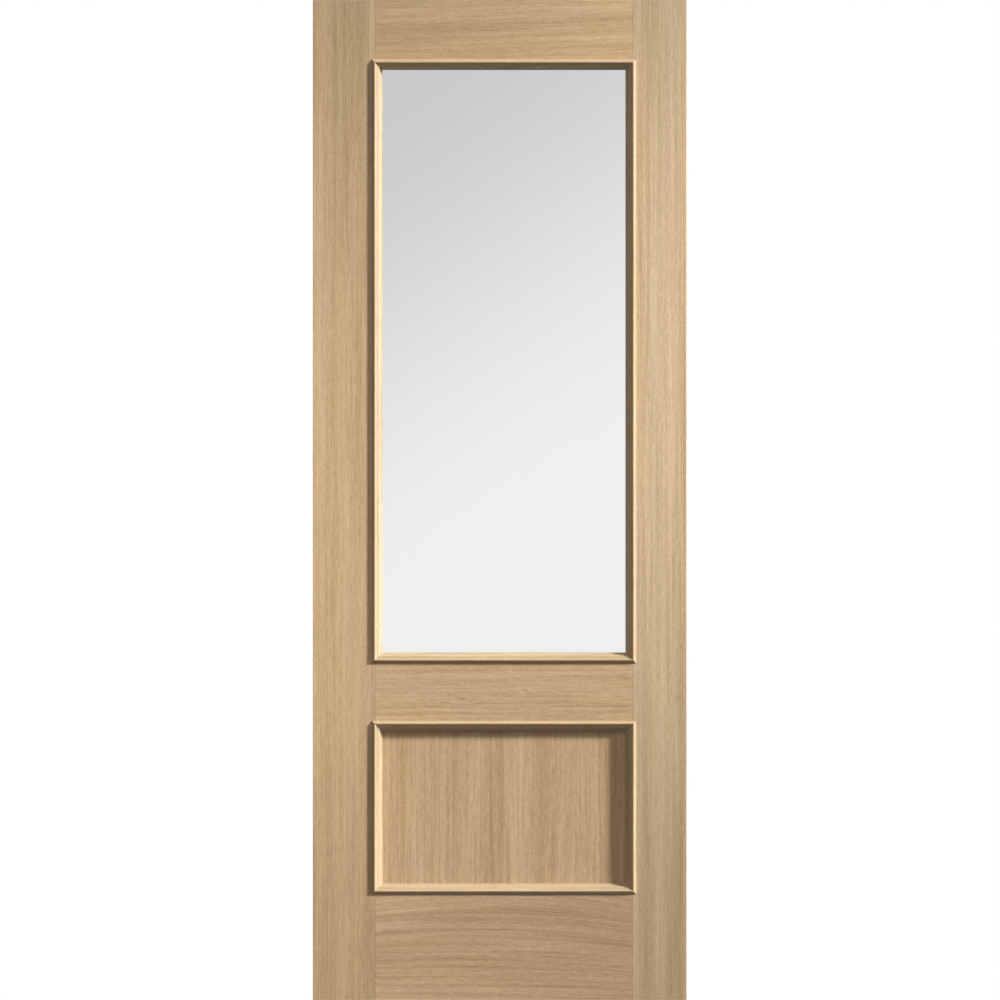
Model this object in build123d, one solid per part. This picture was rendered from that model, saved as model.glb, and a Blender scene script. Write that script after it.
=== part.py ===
from build123d import *
import math
import os

# A glazed interior door leaf, in millimetres.
# The origin is at the foot of the left edge, in the middle of the thickness.
# X runs across the leaf, Y from the front face to the back, Z up.

# Leaf
door_width = 762.0
door_height = 2040.0
door_thickness = 35.0
edge_easing = 1.0

# Stiles and rails
left_stile_width = 126.5
right_stile_width = 109.5
top_rail_height = 128.0
middle_rail_height = 131.0
bottom_rail_height = 223.0
panel_opening_height = 340.0

# Solid oak lippings on the long edges of the stiles, and the oak veneer between them
outer_lipping_width = 7.0
inner_lipping_width = 12.0
veneer_thickness = 0.6

# Lower panel
panel_thickness = 9.0
panel_clearance = 1.5

# Glass, held between two rings of glazing tape
glass_thickness = 6.0
glass_clearance = 3.0
tape_thickness = 1.5
tape_setback = 1.0

# Raised moulding, measured from the opening's edge and from the face of the leaf
moulding_lap = 6.7
moulding_reach = 15.2
lap_edge_height = 0.8
nose_height = 5.5
nose_radius = 2.25
nose_offset = 0.8
nose_cove_angle = 140.0
quirk_offset = 5.0
quirk_width = 0.6
quirk_height = 1.1
ogee_radius = 10.0
foot_height = 2.5

# Places that follow from the sizes above
front_face = -door_thickness / 2
opening_left = left_stile_width
opening_width = door_width - left_stile_width - right_stile_width
panel_opening_bottom = bottom_rail_height
glass_opening_bottom = panel_opening_bottom + panel_opening_height + middle_rail_height
glass_opening_height = door_height - top_rail_height - glass_opening_bottom
panel_recess = (door_thickness - panel_thickness) / 2
glass_recess = (door_thickness - glass_thickness) / 2 - tape_thickness


def slab(left, right, front, back, bottom, top):
    """A flat piece between two places along each axis."""
    corner = Pos(left, front, bottom)
    return corner * Box(right - left, back - front, top - bottom, align=(Align.MIN,) * 3)


def layers(name, left, right, thickness, bottom, top):
    """A core with a veneer on its front and on its back."""
    face = thickness / 2
    core = face - veneer_thickness
    return {
        f"{name}_core": slab(left, right, -core, core, bottom, top),
        f"{name}_front_veneer": slab(left, right, -face, -core, bottom, top),
        f"{name}_back_veneer": slab(left, right, core, face, bottom, top),
    }


def outer_lipping(at_left):
    """The lipping on a long outer edge of the leaf, with both of its corners eased."""
    left = 0 if at_left else door_width - outer_lipping_width
    strip = slab(
        left, left + outer_lipping_width, front_face, -front_face, 0, door_height
    )
    side = Axis.X if at_left else -Axis.X
    corners = strip.edges().filter_by(Axis.Z).sort_by(side)[:2]
    return fillet(corners, edge_easing)


def stile(name, width, at_left):
    """One stile: a veneered core between its outer and its inner lipping."""
    outer = 0 if at_left else door_width
    inward = 1 if at_left else -1
    core_outer = outer + inward * outer_lipping_width
    inner = outer + inward * width
    core_inner = inner - inward * inner_lipping_width
    pieces = layers(
        name,
        min(core_outer, core_inner),
        max(core_outer, core_inner),
        door_thickness,
        0,
        door_height,
    )
    pieces[f"{name}_outer_lipping"] = outer_lipping(at_left)
    pieces[f"{name}_inner_lipping"] = slab(
        min(core_inner, inner),
        max(core_inner, inner),
        front_face,
        -front_face,
        0,
        door_height,
    )
    return pieces


def rail(name, bottom, height):
    """One rail, between the stiles."""
    right = opening_left + opening_width
    return layers(name, opening_left, right, door_thickness, bottom, bottom + height)


def panel():
    """The flat lower panel, a little smaller than its opening."""
    return layers(
        "panel",
        opening_left + panel_clearance,
        opening_left + opening_width - panel_clearance,
        panel_thickness,
        panel_opening_bottom + panel_clearance,
        panel_opening_bottom + panel_opening_height - panel_clearance,
    )


def glazing():
    """The pane, and a ring of tape on each side of it under the foot of the moulding."""
    middle = (
        opening_left + opening_width / 2,
        0,
        glass_opening_bottom + glass_opening_height / 2,
    )
    pane_width = opening_width - 2 * glass_clearance
    pane_height = glass_opening_height - 2 * glass_clearance
    pane = Box(pane_width, glass_thickness, pane_height)

    sight_width = opening_width - 2 * (moulding_reach - tape_setback)
    sight_height = glass_opening_height - 2 * (moulding_reach - tape_setback)
    ring = Box(pane_width, tape_thickness, pane_height)
    ring -= Box(sight_width, tape_thickness, sight_height)
    tape_place = (glass_thickness + tape_thickness) / 2
    return {
        "glass_pane": Pos(middle) * pane,
        "front_glazing_tape": Pos(middle) * Pos(0, -tape_place, 0) * ring,
        "back_glazing_tape": Pos(middle) * Pos(0, tape_place, 0) * ring,
    }


def moulding_section(recess):
    """The moulding's section: x into the opening, y above the face of the leaf.

    From the outer edge it rises in a cove to a round nose, drops into a narrow quirk and
    runs down in an ogee, round above and hollow below, to a square foot on the panel or
    the tape.
    """
    nose = Vector(-nose_offset, nose_height - nose_radius)
    quirk_outer = Vector(quirk_offset, quirk_height)
    quirk_inner = Vector(quirk_offset + quirk_width, quirk_height)
    foot = Vector(moulding_reach, foot_height - recess)
    ogee_middle = (quirk_inner + foot) / 2
    lap_edge = Vector(-moulding_lap, lap_edge_height)

    to_quirk = quirk_outer - nose
    quirk_angle = math.degrees(
        math.atan2(to_quirk.Y, to_quirk.X) + math.acos(nose_radius / to_quirk.length)
    )
    with BuildLine() as outline:
        crest = CenterArc(
            nose, nose_radius, quirk_angle, nose_cove_angle - quirk_angle
        )
        TangentArc(crest @ 1, lap_edge, tangent=crest % 1)
        Polyline(
            lap_edge,
            (-moulding_lap, 0),
            (0, 0),
            (0, -recess),
            (moulding_reach, -recess),
            foot,
        )
        RadiusArc(foot, ogee_middle, ogee_radius)
        RadiusArc(ogee_middle, quirk_inner, -ogee_radius)
        Polyline(quirk_inner, quirk_outer, crest @ 0)
    return make_face(outline.edges())


def moulding_length(side, recess):
    """One length of moulding along X, mitred at both ends, for a side of an opening."""
    outer = side / 2 + moulding_lap
    inner = side / 2 - moulding_reach
    bar = extrude(Plane.YZ * moulding_section(recess), outer, both=True)
    plan = make_face(
        Polyline(
            (-outer, -moulding_lap),
            (outer, -moulding_lap),
            (inner, moulding_reach),
            (-inner, moulding_reach),
            close=True,
        )
    )
    return bar & Pos(0, 0, -recess) * extrude(plan, recess + nose_height)


def mouldings(name, bottom, height, recess):
    """The four lengths round an opening, on the front and on the back of the leaf."""
    middle = Pos(opening_left + opening_width / 2, front_face, bottom + height / 2)
    sides = {
        "bottom": (0, opening_width, height),
        "left": (90, height, opening_width),
        "top": (180, opening_width, height),
        "right": (270, height, opening_width),
    }
    pieces = {}
    for side, (turn, length, across) in sides.items():
        bar = Pos(0, 0, -across / 2) * Rot(X=90) * moulding_length(length, recess)
        front = middle * Rot(Y=turn) * bar
        pieces[f"front_{name}_moulding_{side}"] = front
        pieces[f"back_{name}_moulding_{side}"] = mirror(front, about=Plane.XZ)
    return pieces


door = {
    **stile("left_stile", left_stile_width, at_left=True),
    **stile("right_stile", right_stile_width, at_left=False),
    **rail("top_rail", door_height - top_rail_height, top_rail_height),
    **rail("middle_rail", glass_opening_bottom - middle_rail_height, middle_rail_height),
    **rail("bottom_rail", 0, bottom_rail_height),
    **panel(),
    **glazing(),
    **mouldings("panel", panel_opening_bottom, panel_opening_height, panel_recess),
    **mouldings("glass", glass_opening_bottom, glass_opening_height, glass_recess),
}

os.makedirs("parts", exist_ok=True)
for node, piece in door.items():
    export_step(piece, f"parts/{node}.step")
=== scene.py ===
import math

import bpy
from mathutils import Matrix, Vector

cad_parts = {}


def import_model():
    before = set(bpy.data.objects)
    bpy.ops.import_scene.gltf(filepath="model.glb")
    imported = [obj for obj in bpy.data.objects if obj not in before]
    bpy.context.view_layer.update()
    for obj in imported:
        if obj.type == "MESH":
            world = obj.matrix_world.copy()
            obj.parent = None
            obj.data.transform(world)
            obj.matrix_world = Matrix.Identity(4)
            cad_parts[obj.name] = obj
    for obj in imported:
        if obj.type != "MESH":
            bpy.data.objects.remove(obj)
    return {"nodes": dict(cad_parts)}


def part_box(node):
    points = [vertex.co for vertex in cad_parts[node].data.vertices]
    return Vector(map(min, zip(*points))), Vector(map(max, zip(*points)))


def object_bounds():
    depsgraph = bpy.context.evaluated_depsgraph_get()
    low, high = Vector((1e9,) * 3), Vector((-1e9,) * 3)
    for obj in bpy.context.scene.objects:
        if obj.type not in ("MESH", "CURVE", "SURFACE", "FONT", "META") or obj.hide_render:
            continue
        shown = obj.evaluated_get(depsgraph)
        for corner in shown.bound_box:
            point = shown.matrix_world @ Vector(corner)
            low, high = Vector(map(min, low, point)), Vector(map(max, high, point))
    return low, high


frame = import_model()
cad_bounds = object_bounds()

ACROSS = 0
DEEP = 1
UP = 2

LEAF_FOOT, LEAF_HEAD = (corner[UP] for corner in cad_bounds)

# The picture, straight on: cut off a little within the leaf's ends, and its middle
PICTURE_TRIM = 0.0005
PICTURE_HEIGHT = LEAF_HEAD - LEAF_FOOT - 2 * PICTURE_TRIM
PICTURE_ACROSS = 0.3815
PICTURE_UP = (LEAF_FOOT + LEAF_HEAD) / 2
CAMERA_DISTANCE = 4.0

# Light: a key lamp, a soft fill in the colour of shade, and a dim world
KEY_DIRECTION = (0.841, -0.300, 0.480)
KEY_STRENGTH = 7.0
KEY_ANGLE = math.radians(6.5)
FILL_DIRECTION = (0.15, -0.75, 0.60)
FILL_STRENGTH = 0.84
FILL_ANGLE = math.radians(50)
SHADE_COLOUR = (1.0, 0.935, 0.88)
AMBIENT_STRENGTH = 0.09
LAMP_DISTANCE = 4.0

# The same for the back face, whose lamps light its own pieces only
BACK_KEY_DIRECTION = (-0.60, 0.62, 0.50)
BACK_KEY_STRENGTH = 3.4
BACK_FILL_DIRECTION = (-0.15, 0.75, 0.60)

# The floor: its size, its colour, and the darker colour that it throws back on the leaf
FLOOR_REACH = 12.0
FLOOR_COLOUR = (0.8, 0.8, 0.8)
FLOOR_BOUNCE = (0.06, 0.06, 0.06)

# The backdrops behind the pane: their place and size
BACKDROP_DISTANCE = 0.3
BACKDROP_MIDDLE = 0.3925
BACKDROP_REACH = 1.2
BACKDROP_HEIGHT = 2.4

# Their painted shade, which falls from the first to the second over a height, along a tilted line
BACKDROP_PAINTED_SHADES = (0.89, 0.587)
BACKDROP_FALL = (0.975, 2.075)
BACKDROP_TILT = 0.7

# Colours, as linear light
LEFT_STILE = (0.552, 0.39, 0.221)
RIGHT_STILE = (0.552, 0.411, 0.255)
TOP_RAIL = (0.525, 0.366, 0.203)
MIDDLE_RAIL = (0.523, 0.36, 0.202)
BOTTOM_RAIL = (0.53, 0.36, 0.209)
OAK_PANEL = (0.51, 0.351, 0.201)
OAK_MOULDING = (0.452, 0.329, 0.194)
TIMBER_CORE = (0.62, 0.47, 0.3)
TAPE_COLOUR = (0.03, 0.03, 0.032)
GLASS_COLOUR = (0.96, 0.96, 0.96)
GLASS_SHADOW = (0.9, 0.9, 0.9)

# The lippings are cut from the same oak as their stile: the inner ones paler, the outer redder
INNER_LIPPING = (1.025, 1.035, 1.035)
OUTER_LIPPING = (1.03, 1.0, 0.94)

# The tone that a ramp's white stands for
BRIGHTEST_TONE = 1.5

# The oak's figure, layer by layer: how often it varies in a metre across the grain, into the
# board and along the grain, and how much it shades
BANDS = ((26, 26, 0.7), 0.45)
RINGS = ((130, 130, 3.2), 0.42)
LINES = ((330, 330, 5.0), 0.40)
FIBRES = ((520, 520, 45), 0.45)
FLECKS = ((600, 600, 260), 0.38)

# The same for what changes its hue, and for the sway of all the layers, in metres
REDNESS = ((26, 26, 0.8), 0.07)
YELLOWNESS = ((34, 60, 1.2), 0.24)
SWAY = ((4, 4, 0.9), 0.012)

# Pores: how often, where in the noise one begins and is full, and its shade
PORES = (1500, 1500, 70)
PORE_EDGES = (0.62, 0.72)
PORE_SHADE = 0.10

# How much each of red, green and blue falls where the grain darkens: dark grain is redder
DARK_PIGMENT = (0.82, 1.0, 1.16)

# What red, green and blue gain at the foot of a stile, fading out up to its middle
REDDER_FOOT = (0.0, -0.025, -0.065)

# The varnish over it, satin: more shine on the mouldings, whose grain is a little fainter
VARNISH_ROUGHNESS = 0.6
FIBRE_ROUGHNESS = 0.12
FIBRE_HEIGHT = 0.5
GRAIN_DEPTH = 0.0001
GRAIN_BUMP = 0.5
FLAT_SHINE = 0.3
MOULDING_SHINE = 0.45
MOULDING_CONTRAST = 0.85

# How far apart in the figure two boards are cut whose seeds differ by one
SEED_STEP = (1.37, 0.73, 2.11)
OUTER_LIPPING_SEED = 10
CORE_SEED = 20
FIRST_MOULDING_SEED = 30

# The dark line where a rail meets a stile
JOINT_WIDTH = 0.0009
JOINT_SHADE = 0.3

# A small knot: how far it bends the grain, how much longer than wide it is, and its dark eye
KNOT_REACH = 0.02
KNOT_LENGTH = 2.2
KNOT_SPREAD = 0.85
KNOT_EYE = 0.006
KNOT_SHADE = 0.8

# The tape's foam
FOAM_CELLS = (900, 900, 900)
FOAM_SHADE = 0.8
FOAM_DEPTH = 0.0002
FOAM_BUMP = 0.6
FOAM_ROUGHNESS = 0.85


class Tree:
    """A node tree, with short ways to add nodes and join them."""

    def __init__(self, tree):
        self.tree = tree
        tree.nodes.clear()

    def add(self, kind, inputs=(), **settings):
        node = self.tree.nodes.new(kind)
        for name, value in settings.items():
            setattr(node, name, value)
        for name, value in dict(inputs).items():
            if isinstance(value, bpy.types.NodeSocket):
                self.tree.links.new(value, node.inputs[name])
            else:
                node.inputs[name].default_value = value
        return node

    def math(self, operation, a, b=0.0):
        return self.add("ShaderNodeMath", {0: a, 1: b}, operation=operation).outputs[0]

    def vector(self, operation, a, b):
        return self.add("ShaderNodeVectorMath", {0: a, 1: b}, operation=operation).outputs[0]

    def scaled(self, a, amount):
        return self.add("ShaderNodeVectorMath", {0: a, "Scale": amount}, operation="SCALE").outputs[0]

    def noise(self, vector, stretch, detail=1):
        """Noise between 0 and 1 over a vector that is first stretched along each axis."""
        place = self.vector("MULTIPLY", vector, stretch)
        inputs = {"Vector": place, "Scale": 1.0, "Detail": detail}
        return self.add("ShaderNodeTexNoise", inputs).outputs["Fac"]

    def centred(self, value, amount):
        """A value between 0 and 1 turned into one round 0, times an amount."""
        return self.math("MULTIPLY", self.math("SUBTRACT", value, 0.5), amount)

    def range(self, value, low, high, to_low, to_high, kind="SMOOTHSTEP"):
        inputs = {"Value": value, 1: low, 2: high, 3: to_low, 4: to_high}
        return self.add("ShaderNodeMapRange", inputs, interpolation_type=kind).outputs[0]

    def place(self):
        """The three coordinates of a point in the leaf's frame."""
        place = self.add("ShaderNodeTexCoord").outputs["Object"]
        return self.add("ShaderNodeSeparateXYZ", {0: place}).outputs

    def surface(self, shader):
        self.add("ShaderNodeOutputMaterial", {"Surface": shader.outputs[0]})


def new_material(name):
    """A new material and its tree."""
    material = bpy.data.materials.new(name)
    material.use_nodes = True
    return material, Tree(material.node_tree)


def oak_grain():
    """The figure of oak over a grain vector: across the grain, into the board, along it."""
    tree = bpy.data.node_groups.new("oak_grain", "ShaderNodeTree")
    face = tree.interface
    face.new_socket("Grain", in_out="INPUT", socket_type="NodeSocketVector")
    face.new_socket("Colour", in_out="INPUT", socket_type="NodeSocketColor")
    face.new_socket("Contrast", in_out="INPUT", socket_type="NodeSocketFloat")
    face.new_socket("Colour", in_out="OUTPUT", socket_type="NodeSocketColor")
    face.new_socket("Height", in_out="OUTPUT", socket_type="NodeSocketFloat")
    face.new_socket("Roughness", in_out="OUTPUT", socket_type="NodeSocketFloat")
    t = Tree(tree)
    given = t.add("NodeGroupInput")
    result = t.add("NodeGroupOutput")
    grain = given.outputs["Grain"]

    stretch, amount = SWAY
    sway = t.centred(t.noise(grain, stretch), amount)
    grain = t.vector("ADD", grain, t.add("ShaderNodeCombineXYZ", {"X": sway}).outputs[0])

    fibres = t.noise(grain, FIBRES[0])
    pore = t.range(t.noise(grain, PORES), *PORE_EDGES, 0.0, 1.0)
    shade = 0.0
    for stretch, amount in (BANDS, RINGS, LINES, FIBRES, FLECKS):
        shade = t.math("ADD", shade, t.centred(t.noise(grain, stretch), amount))
    shade = t.math("SUBTRACT", shade, t.math("MULTIPLY", pore, PORE_SHADE))
    shade = t.math("MULTIPLY", shade, given.outputs["Contrast"])
    pigment = t.vector("ADD", t.scaled(DARK_PIGMENT, shade), (1, 1, 1))

    stretch, amount = REDNESS
    red = t.math("ADD", t.centred(t.noise(grain, stretch, 2), amount), 1.0)
    stretch, amount = YELLOWNESS
    blue = t.math("SUBTRACT", 1.0, t.centred(t.noise(grain, stretch, 2), amount))
    hue = t.add("ShaderNodeCombineXYZ", {"X": red, "Y": 1.0, "Z": blue}).outputs[0]
    colour = t.vector("MULTIPLY", given.outputs["Colour"], hue)
    colour = t.vector("MULTIPLY", colour, pigment)
    height = t.math("SUBTRACT", t.centred(fibres, FIBRE_HEIGHT), pore)
    roughness = t.math("ADD", t.centred(fibres, FIBRE_ROUGHNESS), VARNISH_ROUGHNESS)
    for name, value in (("Colour", colour), ("Height", height), ("Roughness", roughness)):
        tree.links.new(value, result.inputs[name])
    return tree


OAK_GRAIN = oak_grain()


def bent_by_knots(t, across, length, knots):
    """The grain's place across the board once knots bend it, and the shade of their eyes."""
    shade = 1.0
    for knot_across, knot_length in knots:
        side = t.math("SUBTRACT", across, knot_across)
        along = t.math("DIVIDE", t.math("SUBTRACT", length, knot_length), KNOT_LENGTH)
        square = t.math("ADD", t.math("MULTIPLY", side, side), t.math("MULTIPLY", along, along))
        distance = t.math("SQRT", square)
        pull = t.range(distance, 0.0, KNOT_REACH, KNOT_SPREAD, 0.0)
        across = t.math("SUBTRACT", across, t.math("MULTIPLY", side, pull))
        shade = t.math("MULTIPLY", shade, t.range(distance, 0.0, KNOT_EYE, KNOT_SHADE, 1.0))
    return across, shade


def streaked(t, tone, across, streaks):
    """A tone with single lines of grain in it, each at a place, with a width and a strength."""
    for place, width, strength in streaks:
        distance = t.math("ABSOLUTE", t.math("SUBTRACT", across, place))
        line = t.range(distance, 0.0, width, 1.0 + strength, 1.0)
        tone = t.math("MULTIPLY", tone, line)
    return tone


def tone_along(t, length, low, high, tones):
    """A tone that runs smoothly through a few values, evenly spaced from one end to the other."""
    ramp = t.add("ShaderNodeValToRGB", {"Fac": t.range(length, low, high, 0.0, 1.0, "LINEAR")})
    ramp.color_ramp.interpolation = "CARDINAL"
    stops = ramp.color_ramp.elements
    while len(stops) < len(tones):
        stops.new(1.0)
    for number, tone in enumerate(tones):
        stops[number].position = number / (len(tones) - 1)
        stops[number].color = [tone / BRIGHTEST_TONE] * 3 + [1]
    return t.math("MULTIPLY", ramp.outputs["Color"], BRIGHTEST_TONE)


def oak(
    node,
    colour,
    along,
    seed,
    contrast=1.0,
    tones=(1.0, 1.0, 1.0),
    slope=0.0,
    arch=0.0,
    knots=(),
    streaks=(),
    joints=False,
    shine=FLAT_SHINE,
    foot=None,
):
    """Dresses a node in satin varnished oak whose grain runs up the leaf or across it.

    tones are the brightness from one end to the other: painted light and shade,
    standing for the lamps' fall-off along the piece, along with some of the wood's own tone.
    slope tilts the lines of the grain, and arch bows them, most at the upper edge and not at
    all at the lower. knots and streaks are single marks in it. joints darkens the ends, where a
    rail meets a stile. foot is what the colours gain at the lower end.
    """
    material, t = new_material(node)
    low, high = (corner[along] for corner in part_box(node))
    lower, upper = (corner[ACROSS + UP - along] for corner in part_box(node))
    half_length = (high - low) / 2
    place = t.place()
    length = place[along]
    across = place[ACROSS + UP - along]
    from_middle = t.math("SUBTRACT", length, (low + high) / 2)
    if slope:
        across = t.math("ADD", across, t.math("MULTIPLY", from_middle, slope))
    if arch:
        bend = t.range(across, lower, upper, 0.0, arch, "LINEAR")
        bow = t.math("MULTIPLY", t.math("MULTIPLY", from_middle, from_middle), bend)
        across = t.math("ADD", across, bow)
    across, knot_shade = bent_by_knots(t, across, length, knots)
    grain = t.add("ShaderNodeCombineXYZ", {0: across, 1: place[DEEP], 2: length}).outputs[0]
    grain = t.vector("ADD", grain, [seed * step for step in SEED_STEP])

    figure = t.add("ShaderNodeGroup", node_tree=OAK_GRAIN)
    t.tree.links.new(grain, figure.inputs["Grain"])
    figure.inputs["Colour"].default_value = (*colour, 1)
    figure.inputs["Contrast"].default_value = contrast

    tone = t.math("MULTIPLY", tone_along(t, length, low, high, tones), knot_shade)
    tone = streaked(t, tone, across, streaks)
    if joints:
        to_end = t.math("SUBTRACT", half_length, t.math("ABSOLUTE", from_middle))
        tone = t.math("MULTIPLY", tone, t.range(to_end, 0.0, JOINT_WIDTH, JOINT_SHADE, 1.0))
    painted = t.scaled(figure.outputs["Colour"], tone)
    if foot:
        near_foot = t.range(length, low, low + half_length, 1.0, 0.0, "LINEAR")
        gain = t.vector("ADD", t.scaled(foot, near_foot), (1, 1, 1))
        painted = t.vector("MULTIPLY", painted, gain)
    bump = t.add(
        "ShaderNodeBump",
        {"Height": figure.outputs["Height"], "Distance": GRAIN_DEPTH, "Strength": GRAIN_BUMP},
    )
    shader = t.add(
        "ShaderNodeBsdfPrincipled",
        {
            "Base Color": painted,
            "Roughness": figure.outputs["Roughness"],
            "Specular IOR Level": shine,
            "Normal": bump.outputs[0],
        },
    )
    t.surface(shader)
    dress(node, material)


def clear_glass():
    """Clear float glass that lets lamps through."""
    material, t = new_material("clear_float_glass")
    glass = t.add(
        "ShaderNodeBsdfPrincipled",
        {
            "Base Color": (*GLASS_COLOUR, 1),
            "Roughness": 0.0,
            "IOR": 1.5,
            "Transmission Weight": 1.0,
        },
    )
    clear = t.add("ShaderNodeBsdfTransparent", {"Color": (*GLASS_SHADOW, 1)})
    shadow = t.add("ShaderNodeLightPath").outputs["Is Shadow Ray"]
    t.surface(t.add("ShaderNodeMixShader", {0: shadow, 1: glass.outputs[0], 2: clear.outputs[0]}))
    return material


def glazing_tape():
    """Dull black foam tape."""
    material, t = new_material("foam_tape")
    place = t.add("ShaderNodeTexCoord").outputs["Object"]
    foam = t.noise(place, FOAM_CELLS, 2)
    bump = t.add("ShaderNodeBump", {"Height": foam, "Distance": FOAM_DEPTH, "Strength": FOAM_BUMP})
    shade = t.scaled(TAPE_COLOUR, t.math("ADD", t.centred(foam, FOAM_SHADE), 1.0))
    shader = t.add(
        "ShaderNodeBsdfPrincipled",
        {"Base Color": shade, "Roughness": FOAM_ROUGHNESS, "Normal": bump.outputs[0]},
    )
    t.surface(shader)
    return material


def dress(node, material):
    """Gives a node of the leaf its material."""
    for slot in frame["nodes"][node].material_slots:
        slot.material = material


def tinted(colour, tint):
    return tuple(c * t for c, t in zip(colour, tint))


def dress_stile(name, colour, seed, tones, knots=()):
    figure = {"tones": tones, "foot": REDDER_FOOT}
    outer = tinted(colour, OUTER_LIPPING)
    inner = tinted(colour, INNER_LIPPING)
    for face in ("front", "back"):
        oak(f"{name}_{face}_veneer", colour, UP, seed, knots=knots, **figure)
    oak(f"{name}_outer_lipping", outer, UP, seed + OUTER_LIPPING_SEED, **figure)
    oak(f"{name}_inner_lipping", inner, UP, seed, **figure)
    oak(f"{name}_core", TIMBER_CORE, UP, seed + CORE_SEED)


def dress_rail(name, colour, seed, **figure):
    for face in ("front", "back"):
        oak(f"{name}_{face}_veneer", colour, ACROSS, seed, joints=True, **figure)
    oak(f"{name}_core", TIMBER_CORE, ACROSS, seed + CORE_SEED)


def dress_panel(seed, **figure):
    for face in ("front", "back"):
        oak(f"panel_{face}_veneer", OAK_PANEL, UP, seed, **figure)
    oak("panel_core", TIMBER_CORE, UP, seed + CORE_SEED)


def dress_mouldings():
    seed = FIRST_MOULDING_SEED
    for face in ("front", "back"):
        for opening in ("glass", "panel"):
            for side in ("top", "bottom", "left", "right"):
                along = UP if side in ("left", "right") else ACROSS
                node = f"{face}_{opening}_moulding_{side}"
                oak(
                    node,
                    OAK_MOULDING,
                    along,
                    seed,
                    contrast=MOULDING_CONTRAST,
                    shine=MOULDING_SHINE,
                )
                seed += 1


def dress_leaf():
    # The tones along each piece are painted light and shade, along with some of the wood's own tone:
    # brighter at the middle and toward the right, darker toward the ends and the foot, as the lamps
    # fall off over the leaf.
    dress_stile(
        "left_stile",
        LEFT_STILE,
        seed=1,
        tones=(0.77, 0.945, 1.085, 0.983, 0.79),
        knots=[(0.069, 1.510)],
    )
    dress_stile("right_stile", RIGHT_STILE, seed=2, tones=(0.72, 0.92, 1.17, 1.22, 0.99))
    dress_rail("top_rail", TOP_RAIL, seed=3, tones=(0.905, 0.985, 1.13), slope=-0.03)
    dress_rail(
        "middle_rail",
        MIDDLE_RAIL,
        seed=4,
        contrast=1.1,
        tones=(1.03, 0.985, 1.02),
        knots=[(0.614, 0.306), (0.632, 0.4325)],
    )
    dress_rail(
        "bottom_rail",
        BOTTOM_RAIL,
        seed=5,
        contrast=1.2,
        tones=(0.88, 0.825, 0.78),
        slope=0.02,
        arch=0.4,
        streaks=[
            (0.145, 0.004, -0.06),
            (0.111, 0.002, 0.05),
            (0.061, 0.002, 0.05),
            (0.030, 0.002, -0.04),
        ],
    )
    dress_panel(
        seed=6,
        contrast=1.15,
        tones=(0.94, 0.98, 0.96),
        streaks=[
            (0.202, 0.002, 0.05),
            (0.196, 0.002, 0.04),
            (0.286, 0.004, -0.05),
            (0.357, 0.003, 0.05),
        ],
    )
    dress_mouldings()
    dress("glass_pane", clear_glass())
    tape = glazing_tape()
    dress("front_glazing_tape", tape)
    dress("back_glazing_tape", tape)


def world():
    """A dim world that the camera, glass and gloss see as plain white."""
    made = bpy.data.worlds.new("studio")
    made.use_nodes = True
    t = Tree(made.node_tree)
    dim = t.add("ShaderNodeBackground", {"Color": (*SHADE_COLOUR, 1), "Strength": AMBIENT_STRENGTH})
    white = t.add("ShaderNodeBackground", {"Color": (1, 1, 1, 1), "Strength": 1.0})
    path = t.add("ShaderNodeLightPath").outputs
    seen = t.math("MAXIMUM", path["Is Camera Ray"], path["Is Glossy Ray"])
    seen = t.math("MAXIMUM", seen, path["Is Transmission Ray"])
    both = t.add("ShaderNodeMixShader", {0: seen, 1: dim.outputs[0], 2: white.outputs[0]})
    t.add("ShaderNodeOutputWorld", {"Surface": both.outputs[0]})
    bpy.context.scene.world = made


def plane(name, corners, material):
    mesh = bpy.data.meshes.new(name)
    mesh.from_pydata(corners, [], [(0, 1, 2, 3)])
    mesh.materials.append(material)
    made = bpy.data.objects.new(name, mesh)
    bpy.context.scene.collection.objects.link(made)
    return made


def floor():
    """A pale floor that keeps the shadow and throws little light back on the leaf."""
    material, t = new_material("pale_floor")
    pale = t.add("ShaderNodeBsdfDiffuse", {"Color": (*FLOOR_COLOUR, 1)})
    dull = t.add("ShaderNodeBsdfDiffuse", {"Color": (*FLOOR_BOUNCE, 1)})
    bounced = t.add("ShaderNodeLightPath").outputs["Is Diffuse Ray"]
    t.surface(t.add("ShaderNodeMixShader", {0: bounced, 1: pale.outputs[0], 2: dull.outputs[0]}))
    reach = FLOOR_REACH
    corners = [(-reach, -reach, 0), (reach, -reach, 0), (reach, reach, 0), (-reach, reach, 0)]
    plane("floor", corners, material)


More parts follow.
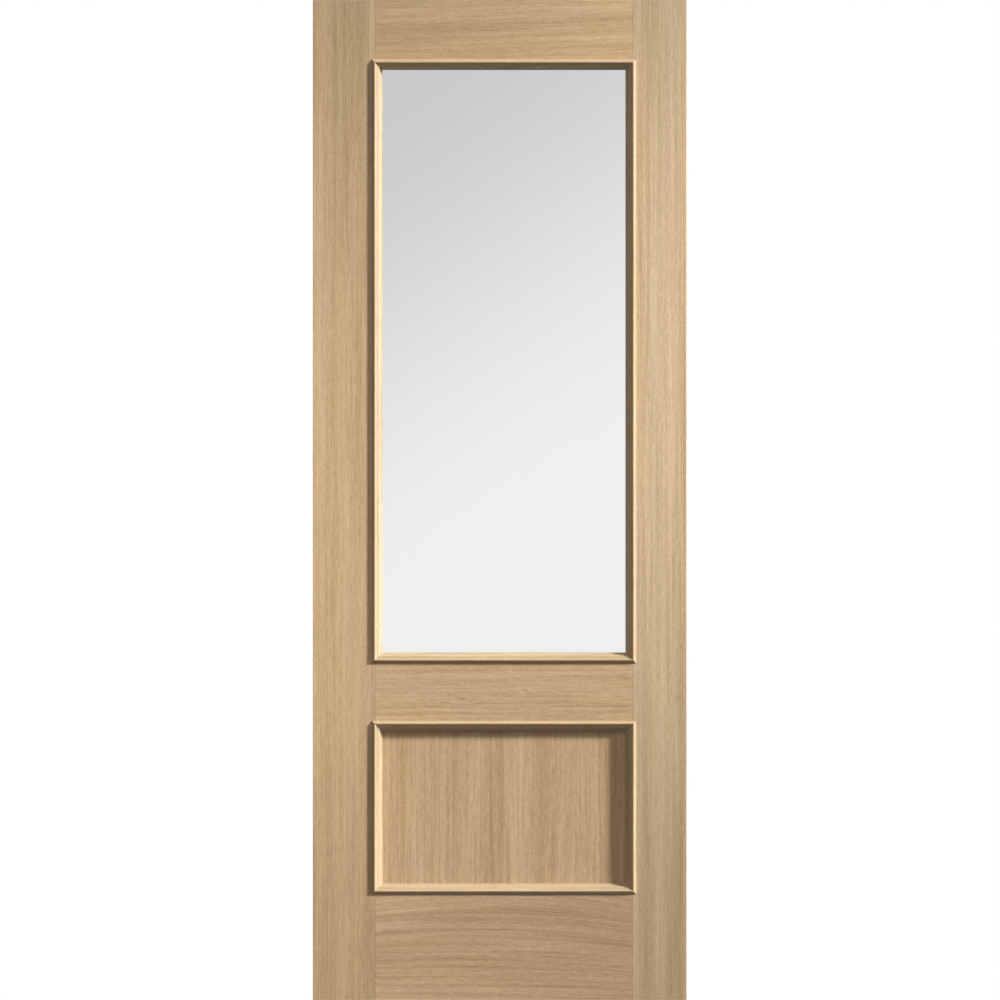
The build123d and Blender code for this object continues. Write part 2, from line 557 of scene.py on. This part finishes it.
def glass_backdrop(name, side):
    """A glowing backdrop seen through the pane only, graded as painted shade: grey above on the left,
    paler below.

    side is 1 for the one behind the leaf and -1 for the one in front, which is turned round,
    so that from either face it is the left that is grey.
    """
    material, t = new_material(name)
    place = t.place()
    from_middle = t.math("SUBTRACT", place[ACROSS], BACKDROP_MIDDLE)
    from_middle = t.math("MULTIPLY", from_middle, side)
    height = t.math("SUBTRACT", place[UP], t.math("MULTIPLY", from_middle, BACKDROP_TILT))
    shade = t.range(height, *BACKDROP_FALL, *BACKDROP_PAINTED_SHADES)
    # The emission's strength is painted shade: darker above on the left, paler below.
    t.surface(t.add("ShaderNodeEmission", {"Color": (1.0, 1.0, 1.0, 1), "Strength": shade}))
    left, right = BACKDROP_MIDDLE - BACKDROP_REACH, BACKDROP_MIDDLE + BACKDROP_REACH
    deep = side * BACKDROP_DISTANCE
    foot = [(left, deep, 0), (right, deep, 0)]
    head = [(right, deep, BACKDROP_HEIGHT), (left, deep, BACKDROP_HEIGHT)]
    made = plane(name, foot + head, material)
    made.visible_camera = False
    made.visible_diffuse = False
    made.visible_glossy = False
    made.visible_shadow = False


def sun(name, direction, strength, angle):
    """Parallel light from a direction, as soft as its angle is wide."""
    data = bpy.data.lights.new(name, "SUN")
    data.energy = strength
    data.angle = angle
    made = bpy.data.objects.new(name, data)
    middle = (cad_bounds[0] + cad_bounds[1]) / 2
    made.location = [m + LAMP_DISTANCE * d for m, d in zip(middle, direction)]
    made.rotation_euler = (middle - made.location).to_track_quat("-Z", "Y").to_euler()
    made.visible_transmission = False
    bpy.context.scene.collection.objects.link(made)
    return made


def soft_sun(name, direction):
    """The weak wide light that fills the shade on one face of the leaf."""
    made = sun(name, direction, FILL_STRENGTH, FILL_ANGLE)
    made.data.color = SHADE_COLOUR
    made.visible_glossy = False
    return made


def back_pieces():
    """A collection of the pieces that show on the back of the leaf."""
    pieces = bpy.data.collections.new("back_pieces")
    for node, made in frame["nodes"].items():
        if "back" in node or node.endswith("lipping"):
            pieces.objects.link(made)
    return pieces


def lamps():
    sun("key", KEY_DIRECTION, KEY_STRENGTH, KEY_ANGLE)
    soft_sun("fill", FILL_DIRECTION)
    back_key = sun("back_key", BACK_KEY_DIRECTION, BACK_KEY_STRENGTH, KEY_ANGLE)
    back_fill = soft_sun("back_fill", BACK_FILL_DIRECTION)
    pieces = back_pieces()
    for lamp in (back_key, back_fill):
        lamp.light_linking.receiver_collection = pieces


def camera():
    data = bpy.data.cameras.new("camera")
    data.type = "ORTHO"
    data.ortho_scale = PICTURE_HEIGHT
    made = bpy.data.objects.new("camera", data)
    made.location = (PICTURE_ACROSS, -CAMERA_DISTANCE, PICTURE_UP)
    made.rotation_euler = (math.pi / 2, 0, 0)
    bpy.context.scene.collection.objects.link(made)
    bpy.context.scene.camera = made


dress_leaf()
world()
floor()
glass_backdrop("backdrop_behind", 1)
glass_backdrop("backdrop_in_front", -1)
lamps()
camera()
bpy.context.scene.view_settings.view_transform = "Standard"
